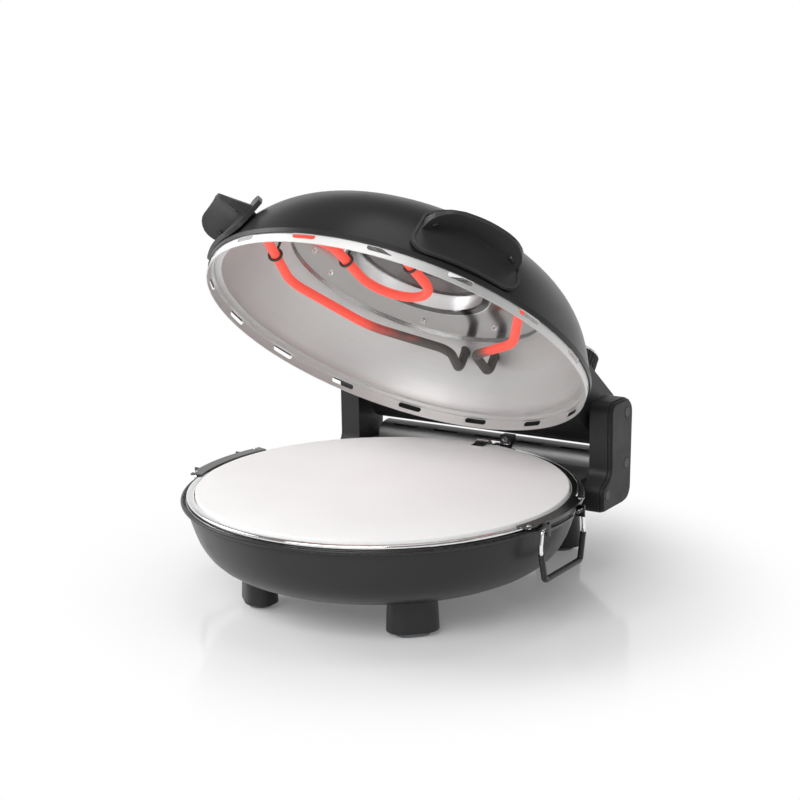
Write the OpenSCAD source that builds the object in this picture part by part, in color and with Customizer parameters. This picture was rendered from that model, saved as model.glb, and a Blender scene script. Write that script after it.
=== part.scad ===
// Electric pizza maker with a round baking stone and a hinged dome lid.
// Origin: on the table under the middle of the standing object. +Z is up, -Y is the front, the hinge is at +Y.
// Every piece is drawn round the centre of the stone and then moved forwards by centre_y.
// The lid parts are drawn closed and then turned about the hinge by lid_open.

/* [Base] */
// Diameter of the baking stone
stone_d = 310; // [290:5:330]
// Thickness of the baking stone
stone_t = 12; // [9:1:15]
// Height of the stone's top face above the table
stone_top = 93.6; // [88:0.2:110]
// Height of the bowl's underside above the table
bowl_z = 23; // [18:1:30]
// Sheet thickness of the bowl and the lid shell
sheet_t = 1.2; // [0.8:0.1:2]
// Sheet thickness of the reflectors
liner_t = 0.8; // [0.6:0.1:1.2]
// Width of the chrome ring from the stone to its outer edge
ring_w = 7.4; // [6:0.2:9]
// Width of the dark groove between the ring and the bowl's rim
groove_w = 1; // [0.8:0.1:2]
// Radius of the rolled bead on the bowl's rim
rim_bead_r = 1.9; // [1.5:0.1:2.5]

/* [Feet] */
// Half the sideways distance between the front feet
foot_x = 74.5; // [60:0.5:80]
// Distance of the front feet in front of the centre
foot_y = 75; // [60:1:80]
// Half the sideways distance between the rear feet
rear_foot_x = 70; // [60:1:85]
// Distance of the rear feet behind the centre
rear_foot_y = 178; // [172:1:180]
// Length of a foot across the bottom
foot_l = 43; // [34:1:48]
// Depth of a foot across the bottom
foot_w = 28; // [22:1:32]
// Height of the rubber pad under a foot
pad_h = 4; // [3:0.5:6]

/* [Lid] */
// Angle at which the lid stands open
lid_open = 38.4; // [0:0.1:70]
// Gap between the closed skirt and the stone's top plane
lid_gap = 0; // [0:0.1:3]
// Height of the slotted skirt below the shell's edge
skirt_h = 7.5; // [6:0.5:12]
// Height of the dome above the shell's edge
dome_h = 88.3; // [70:0.1:100]
// Number of vent slots round the skirt
slot_n = 16; // [8:1:20]
// Length of a vent slot
slot_l = 21; // [12:1:26]
// Height of a vent slot
slot_h = 4.6; // [3:0.1:6]
// Radius of the glass in the window
glass_r = 59; // [45:1:62]
// Thickness of the glass
glass_t = 4; // [3:0.5:6]
// Radius of the flat ceiling disc
ceiling_r = 112.5; // [100:0.5:116]
// Height of the ceiling disc above the shell's edge
ceiling_h = 54; // [50:1:58]

/* [Heating] */
// Radius of the upper heating tube
tube_r = 4; // [3:0.5:4.5]
// Height of the upper heating tube above the shell's edge
tube_h = 31; // [24:1:36]
// Radius of the lower heating tube
low_tube_r = 3.3; // [3:0.1:4]
// Radius of the lower heating tube's circle
low_ring_r = 112; // [90:1:118]
// Height of the lower heating tube above the table
low_tube_z = 58; // [50:1:64]

/* [Hinge] */
// Distance of the hinge axis behind the centre
hinge_y = 178; // [176:1:184]
// Height of the hinge axis above the table
hinge_z = 120; // [118:1:128]
// Radius of the hinge pins
pin_r = 5; // [4:0.5:6]
// Half the distance between the inner faces of the arms
arm_x = 118; // [112:1:124]
// Thickness of an arm without its cover
arm_t = 17; // [14:1:22]
// Thickness of an arm's outer cover
cover_t = 4; // [3:0.5:6]

/* [Handles] */
// Length of a cup handle along the lid
cup_l = 91; // [76:1:100]
// Height of a cup handle's flange
cup_h = 54; // [46:1:60]
// How far a cup handle stands out from its flange
cup_out = 27; // [20:1:32]
// Diameter of the control knob
knob_d = 40; // [32:1:42]
// Height of the control knob
knob_h = 17; // [11:1:20]
// Height of the bails below their pivots
bail_h = 41; // [32:1:46]
// Width of the bails
bail_w = 73; // [70:1:84]
// Radius of the bail wire
wire_r = 1.6; // [1.2:0.1:2]

/* [Hidden] */
centre_y = 19.1;   // distance of the object's middle behind the centre of the stone
fine = 96;
mid = 48;
run = 0.05;        // running clearance round a pin
air = 0.4;         // clearance between pieces that don't touch

// Base, from the stone outwards and from its top downwards
stone_r = stone_d / 2;
ring_gap = 0.8;
ring_r = stone_r + ring_w;
ring_top = stone_top - 2;
ring_band = 4.2;                       // depth of the ring's top band
ring_ledge = 7;                        // how far the ledge reaches under the stone
ledge_t = 1.2;
stone_bot = stone_top - stone_t;
seat_z = ring_top - ring_band;         // underside of the ring's band
bead_x = ring_r + groove_w + rim_bead_r;
rim_r = bead_x + rim_bead_r;
wall_r = ring_r + 0.4;                 // outer radius of the bowl's wall at its top
ledge_z = seat_z - liner_t;            // top of the bowl's inner ledge
wall_z = ledge_z - 2.4;                // where the bowl's curved wall starts
bowl_curve = [[wall_r, wall_z], [wall_r - 14.8, wall_z - 53], [wall_r - 17.3, bowl_z], [0, bowl_z]];
liner_r = stone_r + ring_gap + ledge_t + air;
liner_floor = low_tube_z - 18;
tail_x = 16;                           // half the distance between the lower tube's straight ends
liner_z = stone_bot - ledge_t - 1;
liner_curve = [[liner_r, liner_z], [liner_r - 10, liner_z - 22],
               [liner_r - 14, liner_floor], [liner_r - 36, liner_floor]];

// Lid, closed
edge_z = stone_top + lid_gap + skirt_h;    // lower edge of the lid shell
skirt_z = stone_top + lid_gap;             // lower edge of the skirt
edge_r = ring_r + 3.6;                     // outer radius of the shell's edge
skirt_r = edge_r - sheet_t - 0.2;          // outer radius of the skirt
band_h = 4.2;                              // height of the plain band on the shell's edge
dome_r = edge_r - 0.7;
dome_curve = [[dome_r, edge_z], [dome_r - 17, edge_z + dome_h * 0.684],
              [dome_r - 55.7, edge_z + dome_h], [0, edge_z + dome_h]];
top_z = edge_z + dome_h;
step_z = edge_z + band_h;                  // step inside the lid, where the reflector turns inwards
step_r = skirt_r - 9;
ceiling_z = edge_z + ceiling_h;            // underside of the ceiling disc
liner_top = ceiling_z + 1;
collar_r = glass_r + 6;
glass_z = ceiling_z + 14;
slot_z = edge_z - 1.7;                     // height of the slots' centre line
tube_z = edge_z + tube_h;
screw_ring = 92;
screw_angles = [5, 67, 113, 175, 200, 340];

// Upper heating tube, from the left terminal round the inner loop to the right terminal
term_x = 3;                                // middle of the two terminals
term_gap = 15;                             // half the distance between them
term_y = 129;
term_z = ceiling_z - 2.5;                  // upper end of the terminals, just behind the reflector
loop_x = 3;                                // centre of the inner loop
loop_r = 31;
loop_y = -8;
front_y = -100;
tube_run = [[term_x - term_gap, term_y, term_z, 0], [term_x - term_gap, term_y, tube_z, 8],
            [-3, 90, tube_z, 14], [-70, 58, tube_z, 52], [-112, -14, tube_z, 36], [-90, front_y, tube_z, 24],
            [loop_x - loop_r, front_y, tube_z, 22], [loop_x - loop_r, loop_y, tube_z, loop_r - 0.4],
            [loop_x + loop_r, loop_y, tube_z, loop_r - 0.4], [loop_x + loop_r, front_y, tube_z, 22],
            [90, front_y, tube_z, 24], [112, -14, tube_z, 36], [72, 62, tube_z, 52],
            [20.5, 93, tube_z, 12], [term_x + term_gap, term_y, tube_z, 8],
            [term_x + term_gap, term_y, term_z, 0]];

// Hinge
housing_x = arm_x - 5;
barrel_r = 20;
housing_top = edge_z + 48.5;
housing_bot = edge_z + 2;
housing_front = 116;
housing_back = hinge_y + barrel_r;
arm_front = 145;
arm_back = hinge_y + 9;
arm_low = 53;
arm_foot_front = 129;
arm_foot_top = 78;
arm_top = hinge_z + 26;
deck_x = arm_x - 6;
deck_z = stone_top + 1.6;
deck_back = 189;
base_back = 191;
base_bot = 34;
base_top = ledge_z - 6;
pin_in = housing_x - 30;                   // inner end of a hinge pin
pin_out = arm_x + arm_t - 4;               // its outer end, inside the arm
boss_r = 8;

// Bails
bail_x = rim_r + 1.3;
bail_z = ring_top - 4.5;
ear_y = bail_w / 2 - 7;
plate_z = ring_top + 0.1;
plate_t = 1.2;
plate_r = rim_r + 2.6;                     // outer radius of a bracket's plate
rivet_r = rim_r + 0.3;                     // radius of the circle the rivets stand on
rivet_angle = 15;

// Cup handles
cup_tilt = 20;
cup_r = dome_r - 8.8;
cup_z = edge_z + 31;
flange_t = 3;
flange_rim = 0.8;                          // height of the raised rim on the flange
grip_l = 79;
grip_top = 16.7;                           // height of the grip's top at the flange
grip_low = 6;                              // height of its underside there
top_arch = 77;                             // radius of the arch of the grip's top
low_arch = 74;                             // radius of the arch of its underside
top_fall = 25;                             // slope of the top towards the front
low_fall = 12;                             // slope of the underside
screw_x = 32;
screw_n = 8;

// Knob
knob_x = 90;
knob_y = 138;
spindle_r = 3;

// ---------- helpers ----------

// Point of a cubic curve given by its four control points
function bez(c, t) = (1 - t) ^ 3 * c[0] + 3 * (1 - t) ^ 2 * t * c[1] + 3 * (1 - t) * t ^ 2 * c[2] + t ^ 3 * c[3];
// Direction of that curve
function bez_dir(c, t) = unit((1 - t) ^ 2 * (c[1] - c[0]) + 2 * (1 - t) * t * (c[2] - c[1]) + t ^ 2 * (c[3] - c[2]));
function unit(v) = v / norm(v);
function left_of(v) = [-v[1], v[0]];
// Points of a curve, moved sideways by d
function bez_line(c, d, n, t0 = 0, t1 = 1) =
    [for (i = [0:n]) let (t = t0 + (t1 - t0) * i / n) bez(c, t) + d * left_of(bez_dir(c, t))];
// Points of an arc
function arc(p, r, a0, a1, n) = [for (i = [0:n]) p + r * [cos(a0 + (a1 - a0) * i / n), sin(a0 + (a1 - a0) * i / n)]];
function rev(v) = [for (i = [len(v) - 1:-1:0]) v[i]];

// Moves a piece from the stone's centre to the object's own origin
module framed() {
    translate([0, -centre_y, 0])
        children();
}

// Places lid parts, which are drawn closed, at the open angle
module on_lid() {
    translate([0, hinge_y, hinge_z])
        rotate([-lid_open, 0, 0])
            translate([0, -hinge_y, -hinge_z])
                children();
}

// Ring or disc whose section is given by its inner and outer radius and its lowest and highest level
module band(r1, r2, z1, z2) {
    rotate_extrude($fn = fine)
        translate([r1, z1])
            square([r2 - r1, z2 - z1]);
}

// Copies a piece onto the other side
module mirrored(side) {
    mirror([side < 0 ? 1 : 0, 0, 0])
        children();
}

// Round bar between two points
module rod(a, b, r) {
    d = b - a;
    translate(a)
        rotate([0, acos(d[2] / norm(d)), atan2(d[1], d[0])])
            cylinder(r = r, h = norm(d), $fn = mid);
}

// Bent round tube along points [x, y, z, bend radius]
module bent_tube(p, r) {
    q = [for (v = p) [v[0], v[1], v[2]]];
    n = len(p) - 1;
    turn = [for (i = [0:n]) i == 0 || i == n ? 0
        : acos(max(-1, min(1, unit(q[i] - q[i - 1]) * unit(q[i + 1] - q[i]))))];
    cut = [for (i = [0:n]) p[i][3] * tan(turn[i] / 2)];
    reach = 0.3;
    for (i = [1:n]) {
        u = unit(q[i] - q[i - 1]);
        // a straight run reaches a little way into the bends beside it
        a = cut[i - 1] - (cut[i - 1] > 0 ? reach : 0);
        b = cut[i] - (cut[i] > 0 ? reach : 0);
        rod(q[i - 1] + u * a, q[i] - u * b, r - 0.02);
    }
    for (i = [1:n - 1]) {
        u = unit(q[i] - q[i - 1]);
        v = unit(q[i + 1] - q[i]);
        w = unit(cross(u, v));
        centre = q[i] + unit(v - u) * p[i][3] / cos(turn[i] / 2);
        x = cross(u, w);
        multmatrix([[x[0], u[0], w[0], centre[0]], [x[1], u[1], w[1], centre[1]],
                    [x[2], u[2], w[2], centre[2]], [0, 0, 0, 1]])
            rotate_extrude(angle = turn[i], $fn = fine)
                translate([p[i][3], 0])
                    circle(r = r, $fn = 24);
    }
}

// Outlines of the dome and the bowl, moved inwards by d
function dome_line(d) = bez_line(dome_curve, d, 20, 0.012, 0.66);
function bowl_line(d) = concat([[wall_r - d, wall_z]], bez_line(bowl_curve, -d, 16, 0.03, 1));

// Solid under the dome's outer surface, grown by g
module dome_solid(g) {
    rotate_extrude($fn = fine)
        polygon(concat([[0, edge_z - 30], [dome_r + g, edge_z - 30]], dome_line(-g),
                       [[collar_r, top_z - 2 + g], [0, top_z - 2 + g]]));
}

// Solid inside the bowl's outer surface, grown by g
module bowl_solid(g) {
    rotate_extrude($fn = fine)
        polygon(concat([[0, wall_z + 40], [wall_r + g, wall_z + 40]], bowl_line(-g)));
}

// Outline with round ends along X
module obround_line(l, w) {
    for (s = [-1, 1])
        translate([s * (l - w) / 2, 0])
            circle(d = w, $fn = mid);
    square([l - w, w], center = true);
}

// Flat bar with round ends along X
module obround(l, w, h) {
    linear_extrude(h)
        obround_line(l, w);
}

// ---------- base ----------

module base_shell() {
    framed() color("#1d1d1f")
        difference() {
            union() {
                rotate_extrude($fn = fine)
                    polygon(concat([[wall_r, ledge_z]], bowl_line(0), rev(bowl_line(sheet_t)),
                                   [[wall_r - sheet_t, ledge_z]]));
                band(wall_r - sheet_t, bead_x, ledge_z - sheet_t, ledge_z);
                rotate_extrude($fn = fine)
                    translate([bead_x, ledge_z + 0.3])
                        circle(r = rim_bead_r, $fn = mid);
            }
            for (s = [-1, 1])
                translate([s * tail_x, wall_r - 30, low_tube_z])
                    rotate([-90, 0, 0])
                        cylinder(r = low_tube_r + 2.2, h = 50, $fn = mid);
        }
}

module base_reflector() {
    outer = liner_r + liner_t;
    framed() color("#c9c9c6")
        difference() {
            rotate_extrude($fn = fine)
                polygon(concat([[ring_r + 0.4, ledge_z], [ring_r + 0.4, ledge_z + liner_t],
                                [liner_r, ledge_z + liner_t]],
                               bez_line(liner_curve, 0, 10),
                               [[0, liner_floor], [0, liner_floor - liner_t]],
                               rev(bez_line(liner_curve, liner_t, 10)),
                               [[outer, ledge_z]]));
            for (s = [-1, 1])
                translate([s * tail_x, liner_r - 30, low_tube_z])
                    rotate([-90, 0, 0])
                        cylinder(r = low_tube_r + 1.5, h = 40, $fn = mid);
        }
}

module stone_ring() {
    r0 = stone_r + ring_gap;
    round = 1.6;
    framed() color("#d9d9d6")
        rotate_extrude($fn = fine)
            polygon(concat([[stone_r - ring_ledge, stone_bot - ledge_t], [r0 + ledge_t, stone_bot - ledge_t],
                            [r0 + ledge_t, seat_z], [ring_r, seat_z]],
                           arc([ring_r - round, ring_top - round], round, 0, 90, 4),
                           arc([r0 + round, ring_top - round], round, 90, 180, 4),
                           [[r0, stone_bot], [stone_r - ring_ledge, stone_bot]]));
}

module pizza_stone() {
    round = 1.4;
    framed() color("#ece9e4")
        rotate_extrude($fn = fine)
            polygon(concat([[0, stone_bot]],
                           arc([stone_r - round, stone_bot + round], round, -90, 0, 3),
                           arc([stone_r - round, stone_top - round], round, 0, 90, 3),
                           [[0, stone_top]]));
}

module lower_element() {
    half_gap = 12;
    back = base_back - 34;
    end_x = low_ring_r * sin(half_gap);
    end_y = low_ring_r * cos(half_gap);
    turn_y = end_y + (end_x - tail_x) * tan(half_gap);
    framed() color("#4a4643") {
        rotate([0, 0, 90 + half_gap])
            rotate_extrude(angle = 360 - 2 * half_gap, $fn = fine)
                translate([low_ring_r, low_tube_z])
                    circle(r = low_tube_r, $fn = mid);
        for (s = [-1, 1])
            bent_tube([[s * (end_x + 0.3), end_y - 0.06, low_tube_z, 0], [s * tail_x, turn_y, low_tube_z, 7],
                       [s * tail_x, back, low_tube_z, 0]], low_tube_r);
    }
}

module lower_element_clips() {
    framed() color("#b9b7b2")
        for (a = [30, 150, 270])
            rotate([0, 0, a])
                translate([low_ring_r, 0, 0])
                    difference() {
                        translate([-3, -4, liner_floor])
                            cube([6, 8, low_tube_z - liner_floor]);
                        translate([0, 0, low_tube_z])
                            rotate([90, 0, 0])
                                cylinder(r = low_tube_r + 0.1, h = 20, center = true, $fn = mid);
                    }
}

// A foot, long side along X, standing on its pad
module foot(top) {
    hull()
        for (s = [-1, 1])
            translate([s * (foot_l - foot_w) / 2, 0, pad_h])
                cylinder(d1 = foot_w, d2 = foot_w - 2.4, h = top - pad_h, $fn = 28);
}

// Places of the feet: x, y, turn, top
foot_turn = atan2(foot_x, foot_y);
foot_places = [[-foot_x, -foot_y, -foot_turn], [foot_x, -foot_y, foot_turn],
               [-rear_foot_x, rear_foot_y, 0], [rear_foot_x, rear_foot_y, 0]];

module feet() {
    framed() color("#232325")
        for (i = [0:3]) {
            p = foot_places[i];
            difference() {
                translate([p[0], p[1], 0])
                    rotate([0, 0, p[2]])
                        foot(i < 2 ? bowl_z + 8 : base_bot);
                if (i < 2) {
                    bowl_solid(0);
                }
            }
        }
}

module foot_pads() {
    framed() color("#8d8f92")
        for (p = foot_places)
            translate([p[0], p[1], 0])
                rotate([0, 0, p[2]])
                    obround(foot_l - 15, foot_w - 8, pad_h);
}

module hinge_base() {
    low_x = rear_foot_x + foot_l / 2 + 2;
    round = 8;
    framed() color("#1b1b1d")
        difference() {
            translate([0, base_back, 0])
                rotate([90, 0, 0])
                    linear_extrude(base_back - arm_foot_front + 2)
                        polygon(concat([[-arm_x, base_top], [-arm_x, arm_low + 4]],
                                       arc([-low_x + round, base_bot + round], round, 215, 270, 4),
                                       arc([low_x - round, base_bot + round], round, 270, 325, 4),
                                       [[arm_x, arm_low + 4], [arm_x, base_top]]));
            bowl_solid(air);
            band(0, rim_r + air, ledge_z - 8, ledge_z + 20);
            for (s = [-1, 1])
                translate([s * tail_x, 0, low_tube_z])
                    rotate([-90, 0, 0])
                        cylinder(r = low_tube_r + 0.3, h = base_back - 12, $fn = mid);
            translate([-60, base_back - 20, base_bot + 14])
                rotate([-90, 0, 0])
                    cylinder(r = 7, h = 30, $fn = mid);
        }
}

module rear_deck() {
    front = rim_r + 1;
    curve = [[front, ledge_z - 4], [front + 1, deck_z - 3], [front + 6, deck_z - 0.4], [deck_back - 4, deck_z]];
    slot_y = 176;
    framed() color("#3a3b3d")
        difference() {
            translate([deck_x, 0, 0])
                rotate([0, 0, 90])
                    rotate([90, 0, 0])
                        translate([0, 0, -2 * deck_x])
                            linear_extrude(2 * deck_x)
                                polygon(concat([[front, base_top]], bez_line(curve, 0, 10),
                                               arc([deck_back - 3, deck_z - 3], 3, 90, 0, 4),
                                               [[deck_back, base_top], [deck_back - sheet_t, base_top]],
                                               arc([deck_back - 3, deck_z - 3], 3 - sheet_t, 0, 90, 4),
                                               rev(bez_line(curve, -sheet_t, 10)),
                                               [[front + sheet_t, base_top]]));
            for (i = [-2:2])
                translate([i * 43.5, slot_y, deck_z - 8])
                    obround(27, 4, 20);
            // opening for the clip's block
            translate([block_x - block_w / 2 - 0.5, front - 1, base_top - 1])
                cube([block_w + 1, block_y + block_l + 0.5 - front + 1, 40]);
        }
}

module cord_gland() {
    framed() color("#202022")
        translate([-60, base_back, base_bot + 14])
            rotate([-90, 0, 0])
                difference() {
                    union() {
                        translate([0, 0, -16])
                            cylinder(r = 7, h = 16, $fn = mid);
                        cylinder(r = 10, h = 3, $fn = mid);
                        translate([0, 0, 3])
                            cylinder(r1 = 8, r2 = 6.5, h = 6, $fn = mid);
                    }
                    translate([0, 0, -20])
                        cylinder(r = 3.6, h = 40, $fn = mid);
                }
}

// ---------- arms and hinge ----------

// Side outline of an arm, drawn in (y, z) and grown by g
module arm_outline(g) {
    r = 14;
    f = 10;
    polygon(concat(arc([arm_front + f, arm_top - f], f + g, 180, 90, 6),
                   arc([arm_back - r, arm_top - r], r + g, 90, 0, 6),
                   arc([arm_back - 3 - r, arm_low + r], r + g, 0, -90, 6),
                   arc([arm_foot_front + 5, arm_low + 5], 5 + g, -90, -180, 4),
                   arc([arm_foot_front + f, arm_foot_top - f], f + g, 180, 125, 4),
                   arc([arm_front - f, arm_foot_top + f + 1], f - g, -55, 0, 4)));
}

// Turns a drawing in (y, z) upright and gives it the thickness t from x outwards
module across(x, t) {
    translate([x, 0, 0])
        rotate([90, 0, 90])
            linear_extrude(t)
                children();
}

cover_screw_places = [[arm_back - 12, arm_top - 13], [arm_back - 13, 88], [arm_foot_front + 9, 68]];

module arm(side) {
    framed() color("#252527")
        mirrored(side)
            difference() {
                union() {
                    across(arm_x, arm_t)
                        arm_outline(0);
                    translate([housing_x + 0.3, hinge_y, hinge_z])
                        rotate([0, 90, 0])
                            cylinder(r = boss_r, h = arm_x - housing_x, $fn = mid);
                }
                translate([pin_in, hinge_y, hinge_z])
                    rotate([0, 90, 0])
                        cylinder(r = pin_r, h = pin_out - pin_in, $fn = mid);
                for (p = cover_screw_places)
                    translate([arm_x + arm_t - 10, p[0], p[1]])
                        rotate([0, 90, 0])
                            cylinder(r = 1.5, h = 20, $fn = mid);
            }
}

module arm_cover(side) {
    framed() color("#2b2b2d")
        mirrored(side)
            difference() {
                union() {
                    across(arm_x + arm_t, cover_t - 1.4)
                        arm_outline(-0.8);
                    across(arm_x + arm_t, cover_t)
                        arm_outline(-2.2);
                }
                for (p = cover_screw_places)
                    translate([arm_x + arm_t - 5, p[0], p[1]])
                        rotate([0, 90, 0]) {
                            cylinder(r = 1.7, h = 20, $fn = mid);
                            translate([0, 0, 5 + cover_t - 1.6])
                                cylinder(r = 4.6, h = 5, $fn = mid);
                        }
            }
}

module cover_screws() {
    framed() color("#3a3a3c")
        for (side = [-1, 1])
            mirrored(side)
                for (p = cover_screw_places)
                    translate([arm_x + arm_t, p[0], p[1]])
                        rotate([0, 90, 0]) {
                            translate([0, 0, cover_t - 1.6])
                                cylinder(r = 4.4, h = 1.8, $fn = mid);
                            translate([0, 0, -9])
                                cylinder(r = 1.4, h = 9 + cover_t - 1.6, $fn = mid);
                        }
}

module hinge_pin(side) {
    framed() color("#9b9b98")
        mirrored(side)
            translate([pin_in, hinge_y, hinge_z])
                rotate([0, 90, 0])
                    cylinder(r = pin_r, h = pin_out - pin_in, $fn = mid);
}

// ---------- bails ----------

module bracket(side) {
    span = 2 * (rivet_angle + 2);
    band_span = span - 20;
    ear_x = sqrt(rim_r ^ 2 - ear_y ^ 2) + 0.6;
    framed() color("#5a5b5e")
        mirrored(side)
            difference() {
                union() {
                    rotate([0, 0, -span / 2])
                        rotate_extrude(angle = span, $fn = fine)
                            translate([ring_r - 3, plate_z])
                                square([plate_r - ring_r + 3, plate_t]);
                    rotate([0, 0, -band_span / 2])
                        rotate_extrude(angle = band_span, $fn = fine)
                            translate([rim_r + 0.4, ledge_z - 3.5])
                                square([1.4, plate_z + plate_t / 2 - ledge_z + 3.5]);
                    for (s = [-1, 1])
                        translate([ear_x, s * ear_y - plate_t / 2, bail_z - 4.5])
                            cube([bail_x + 4.5 - ear_x, plate_t, plate_z + plate_t / 2 - bail_z + 4.5]);
                }
                translate([bail_x, 0, bail_z])
                    rotate([90, 0, 0])
                        cylinder(r = wire_r + 0.1, h = bail_w, center = true, $fn = mid);
                for (s = [-1, 1])
                    rotate([0, 0, s * rivet_angle])
                        translate([rivet_r, 0, plate_z - 2])
                            cylinder(r = 1.2, h = 5, $fn = mid);
            }
}

module bracket_rivets() {
    framed() color("#d0d0cc")
        for (side = [-1, 1])
            mirrored(side)
                for (s = [-1, 1])
                    rotate([0, 0, s * rivet_angle])
                        translate([rivet_r, 0, plate_z]) {
                            translate([0, 0, plate_t])
                                cylinder(r1 = 2, r2 = 1.3, h = 0.8, $fn = mid);
                            translate([0, 0, -0.7])
                                cylinder(r = 1.1, h = plate_t + 0.8, $fn = mid);
                            translate([0, 0, -0.8])
                                cylinder(r = 1.8, h = 0.75, $fn = mid);
                        }
}

// Centre line of a bail, from the inside of one ear to the inside of the other
function bail_line() =
    let (half = [[ear_y - 4, bail_z, 0], [bail_w / 2 - 2.5, bail_z, 3.2], [bail_w / 2, bail_z - 14, 16],
                 [bail_w / 2 - 6.5, bail_z - bail_h, 4]])
    concat([for (h = half) [bail_x, -h[0], h[1], h[2]]], [for (i = [3:-1:0]) [bail_x, half[i][0], half[i][1], half[i][2]]]);

module bail(side) {
    framed() color("#cfcfcc")
        mirrored(side)
            bent_tube(bail_line(), wire_r);
}

module bail_sleeve(side) {
    line = bail_line();
    u = (line[3] - line[2]) / norm([for (i = [0:2]) line[3][i] - line[2][i]]);
    start = line[2] + 5 * u;
    sleeve = [[start[0], start[1], start[2], 0], line[3], line[4], [start[0], -start[1], start[2], 0]];
    framed() color("#1c1c1e")
        mirrored(side)
            difference() {
                bent_tube(sleeve, wire_r + 0.9);
                bent_tube(line, wire_r + 0.01);
            }
}

// ---------- stone clip ----------

clip_t = 1;
clip_x = 9;                                // middle of the clip's tongue
clip_w = 12;
block_x = 22;
block_w = 11;
block_y = rim_r + 2;
block_l = 9;
block_top = ring_top + 7;

// Strip that lies on the ring, curls over the stone's edge and ends in a short tongue
module stone_clip() {
    base_z = ring_top + 0.05;
    tongue_z = stone_top + 0.05;
    curl_r = 3.2;
    curl_y = stone_r - 1.6;
    tip_y = stone_r - 15;
    top = concat([[block_y, base_z + clip_t], [curl_y + 5.6, base_z + clip_t]],
                 arc([curl_y, tongue_z + clip_t], curl_r, 20, 150, 7),
                 [[curl_y - 8, tongue_z + clip_t], [tip_y, tongue_z + clip_t]]);
    under = concat([[tip_y, tongue_z], [curl_y - 8.3, tongue_z]],
                   arc([curl_y, tongue_z + clip_t], curl_r - clip_t, 150, 20, 7),
                   [[curl_y + 4.2, base_z], [block_y, base_z]]);
    framed() color("#d6d6d3") {
        translate([clip_x - clip_w / 2, 0, 0])
            rotate([90, 0, 90])
                linear_extrude(clip_w)
                    polygon(concat(top, under));
        translate([clip_x, block_y - 4, base_z])
            cube([block_x + block_w / 2 - clip_x, 4, clip_t]);
    }
}

module clip_block() {
    framed() color("#19191b")
        difference() {
            translate([block_x - block_w / 2, block_y, base_top])
                cube([block_w, block_l, block_top - base_top]);
            translate([block_x, block_y - 1, ring_top + 4])
                rotate([-90, 0, 0])
                    cylinder(r = 1.5, h = 8, $fn = mid);
        }
}

module clip_screw() {
    framed() color("#cfcfcc")
        translate([block_x, block_y, ring_top + 4])
            rotate([-90, 0, 0]) {
                translate([0, 0, -1.2])
                    cylinder(r = 2.6, h = 1.2, $fn = mid);
                cylinder(r = 1.4, h = 6, $fn = mid);
            }
}

// ---------- lid ----------

module lid_shell() {
    framed() color("#1d1d1f")
        on_lid() {
            rotate_extrude($fn = fine)
                polygon(concat(dome_line(0), [[collar_r, top_z - 2]],
                               [[collar_r - 3, top_z - 2], [collar_r - 3, top_z - 2 - sheet_t]],
                               rev(dome_line(sheet_t))));
            band(edge_r - sheet_t, edge_r, edge_z, edge_z + band_h);
            band(edge_r - 2.2, edge_r - 0.4, edge_z + 1.8, edge_z + band_h - 0.4);
        }
}

module lid_reflector() {
    curve = [[step_r, step_z + 3], [step_r - 8, step_z + 34], [ceiling_r + 16, liner_top], [ceiling_r + 2, liner_top]];
    ledge = edge_z + 1.7;                      // small ledge above the skirt
    inner_r = skirt_r - 2.6;
    framed() color("#c6c4c0")
        on_lid()
            difference() {
                rotate_extrude($fn = fine)
                    polygon(concat([[skirt_r, skirt_z], [skirt_r, ledge], [inner_r, ledge], [inner_r, step_z + liner_t],
                                    [step_r + liner_t, step_z + liner_t], [step_r + liner_t, step_z + 3]],
                                   bez_line(curve, -liner_t, 10, 0.05, 1),
                                   [[collar_r - 5, liner_top + liner_t], [collar_r - 5, liner_top]],
                                   rev(bez_line(curve, 0, 10, 0.05, 1)),
                                   [[step_r, step_z + 3], [step_r, step_z], [inner_r - liner_t, step_z],
                                    [inner_r - liner_t, ledge - liner_t], [skirt_r - liner_t, ledge - liner_t],
                                    [skirt_r - liner_t, skirt_z]]));
                for (i = [0:slot_n - 1])
                    rotate([0, 0, i * 360 / slot_n])
                        translate([skirt_r - 5, 0, slot_z])
                            rotate([90, 0, 90])
                                obround(slot_l, slot_h, 10);
                for (s = [-1, 1])
                    translate([term_x + s * term_gap, term_y, tube_z])
                        cylinder(r = tube_r + 0.5, h = 40, $fn = mid);
            }
}

module ceiling_disc() {
    framed() color("#bdbbb7")
        on_lid()
            difference() {
                union() {
                    band(collar_r - 5, ceiling_r, ceiling_z, liner_top);
                    band(ceiling_r - 0.8, ceiling_r, ceiling_z - 2, ceiling_z + 0.5);
                }
                for (a = screw_angles)
                    rotate([0, 0, a])
                        translate([screw_ring, 0, ceiling_z - 5])
                            cylinder(r = 1.6, h = 10, $fn = mid);
            }
}

module window_collar() {
    framed() color("#dcdcda")
        on_lid() {
            band(glass_r - 1.5, collar_r, ceiling_z - 1.4, ceiling_z);
            band(glass_r - 1.5, glass_r + 0.3, ceiling_z, glass_z);
        }
}

module window_glass() {
    framed() color("#dfe6ea", 0.5)
        on_lid()
            band(0, glass_r, glass_z, glass_z + glass_t);
}

module window_frame() {
    seat = glass_z + glass_t;
    r1 = glass_r - 5;
    framed() color("#202022")
        on_lid() {
            rotate_extrude($fn = fine)
                polygon(concat([[r1, seat], [glass_r + 1.5, seat], [glass_r + 1.5, top_z - 2], [collar_r + 5, top_z - 2]],
                               arc([collar_r + 2, top_z - 2], 3, 0, 90, 4), arc([r1 + 6, top_z - 1], 2, 90, 150, 3)));
        }
}

module upper_element() {
    framed() color("#d8574a")
        on_lid()
            bent_tube(tube_run, tube_r);
}

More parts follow.
